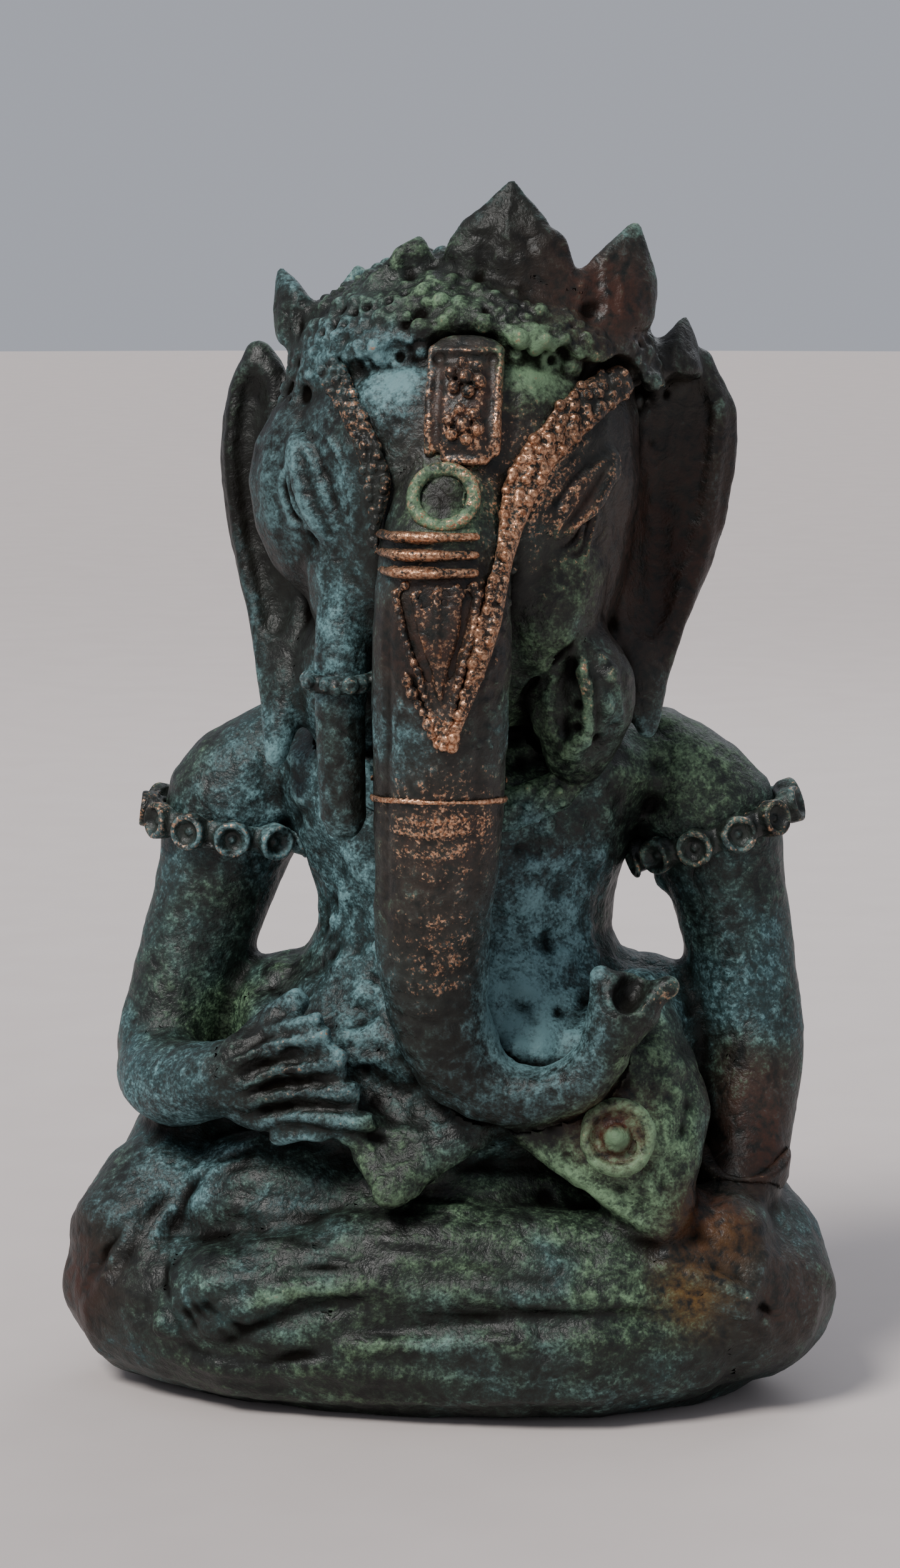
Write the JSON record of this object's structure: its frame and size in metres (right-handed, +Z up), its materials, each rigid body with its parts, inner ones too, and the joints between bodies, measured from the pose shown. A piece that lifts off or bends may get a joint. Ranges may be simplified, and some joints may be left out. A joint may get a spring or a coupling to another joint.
{
  "type": "hindu deity statue",
  "caption": "Seated elephant-headed deity statuette in patinated cast bronze, trunk curled to one side, one tusk broken, leaf crown, armlets, crossed legs; stands on its own flat seat",
  "frame": {"origin": "centre of the footprint, on the resting plane under the seat", "axes": "+Z up along the figure's height, -Y the way the figure faces, +X to the viewer's right"},
  "size_m": [0.0814, 0.0518, 0.125],
  "materials": {
    "seat_base": "dark aged cast bronze, matt, with rubbed edges",
    "right_leg": "dark aged cast bronze, matt, with rubbed edges",
    "left_leg": "dark aged cast bronze, matt, with rubbed edges",
    "left_foot": "dark aged cast bronze, matt, with rubbed edges",
    "torso": "cast bronze under a blue-green patina wash, matt",
    "waistband": "cast bronze under a blue-green patina wash, matt",
    "loincloth": "cast bronze under a blue-green patina wash, matt",
    "thigh_drape": "cast bronze under a blue-green patina wash, matt",
    "drape_rosette": "cast bronze rubbed to a coppery brown on its raised detail",
    "necklace": "dark aged cast bronze, matt, with rubbed edges",
    "right_upper_arm": "dark aged cast bronze, matt, with rubbed edges",
    "right_forearm": "dark aged cast bronze, matt, with rubbed edges",
    "right_hand": "cast bronze rubbed to a coppery brown on its raised detail",
    "right_armlet": "cast bronze rubbed to a coppery brown on its raised detail",
    "left_upper_arm": "dark aged cast bronze, matt, with rubbed edges",
    "left_forearm": "dark aged cast bronze, matt, with rubbed edges",
    "left_hand": "cast bronze rubbed to a coppery brown on its raised detail",
    "left_armlet": "cast bronze rubbed to a coppery brown on its raised detail",
    "left_bracelet": "cast bronze rubbed to a coppery brown on its raised detail",
    "head": "cast bronze under a blue-green patina wash, matt",
    "right_ear": "near-black bronze, matt",
    "left_ear": "near-black bronze, matt",
    "right_eye": "dark aged cast bronze, matt, with rubbed edges",
    "left_eye": "dark aged cast bronze, matt, with rubbed edges",
    "trunk": "dark aged cast bronze, matt, with rubbed edges",
    "trunk_tip": "near-black bronze, matt",
    "trunk_plaque": "cast bronze rubbed to a coppery brown on its raised detail",
    "trunk_bars": "cast bronze rubbed to a coppery brown on its raised detail",
    "trunk_rings": "cast bronze rubbed to a coppery brown on its raised detail",
    "right_tusk": "dark aged cast bronze, matt, with rubbed edges",
    "right_tusk_ring": "cast bronze rubbed to a coppery brown on its raised detail",
    "left_tusk_stump": "dark aged cast bronze, matt, with rubbed edges",
    "forehead_strap": "dark aged cast bronze, matt, with rubbed edges",
    "forehead_rosettes": "cast bronze rubbed to a coppery brown on its raised detail",
    "forehead_medallion": "cast bronze rubbed to a coppery brown on its raised detail",
    "right_brow_band": "cast bronze rubbed to a coppery brown on its raised detail",
    "left_brow_band": "cast bronze rubbed to a coppery brown on its raised detail",
    "crown_cap": "cast bronze under a blue-green patina wash, matt",
    "crown_centre_leaf": "near-black bronze, matt",
    "crown_right_inner_leaf": "near-black bronze, matt",
    "crown_right_outer_leaf": "near-black bronze, matt",
    "crown_left_inner_leaf": "near-black bronze, matt",
    "crown_left_outer_leaf": "near-black bronze, matt",
    "crown_back_leaves": "near-black bronze, matt"
  },
  "bodies": {
    "root": {"seat_base": "seat_base", "right_leg": "right_leg", "left_leg": "left_leg", "left_foot": "left_foot", "torso": "torso", "waistband": "waistband", "loincloth": "loincloth", "thigh_drape": "thigh_drape", "drape_rosette": "drape_rosette", "necklace": "necklace", "right_upper_arm": "right_upper_arm", "right_forearm": "right_forearm", "right_hand": "right_hand", "right_armlet": "right_armlet", "left_upper_arm": "left_upper_arm", "left_forearm": "left_forearm", "left_hand": "left_hand", "left_armlet": "left_armlet", "left_bracelet": "left_bracelet", "head": "head", "right_ear": "right_ear", "left_ear": "left_ear", "right_eye": "right_eye", "left_eye": "left_eye", "trunk": "trunk", "trunk_tip": "trunk_tip", "trunk_plaque": "trunk_plaque", "trunk_bars": "trunk_bars", "trunk_rings": "trunk_rings", "right_tusk": "right_tusk", "right_tusk_ring": "right_tusk_ring", "left_tusk_stump": "left_tusk_stump", "forehead_strap": "forehead_strap", "forehead_rosettes": "forehead_rosettes", "forehead_medallion": "forehead_medallion", "right_brow_band": "right_brow_band", "left_brow_band": "left_brow_band", "crown_cap": "crown_cap", "crown_centre_leaf": "crown_centre_leaf", "crown_right_inner_leaf": "crown_right_inner_leaf", "crown_right_outer_leaf": "crown_right_outer_leaf", "crown_left_inner_leaf": "crown_left_inner_leaf", "crown_left_outer_leaf": "crown_left_outer_leaf", "crown_back_leaves": "crown_back_leaves"}
  },
  "joints": []
}
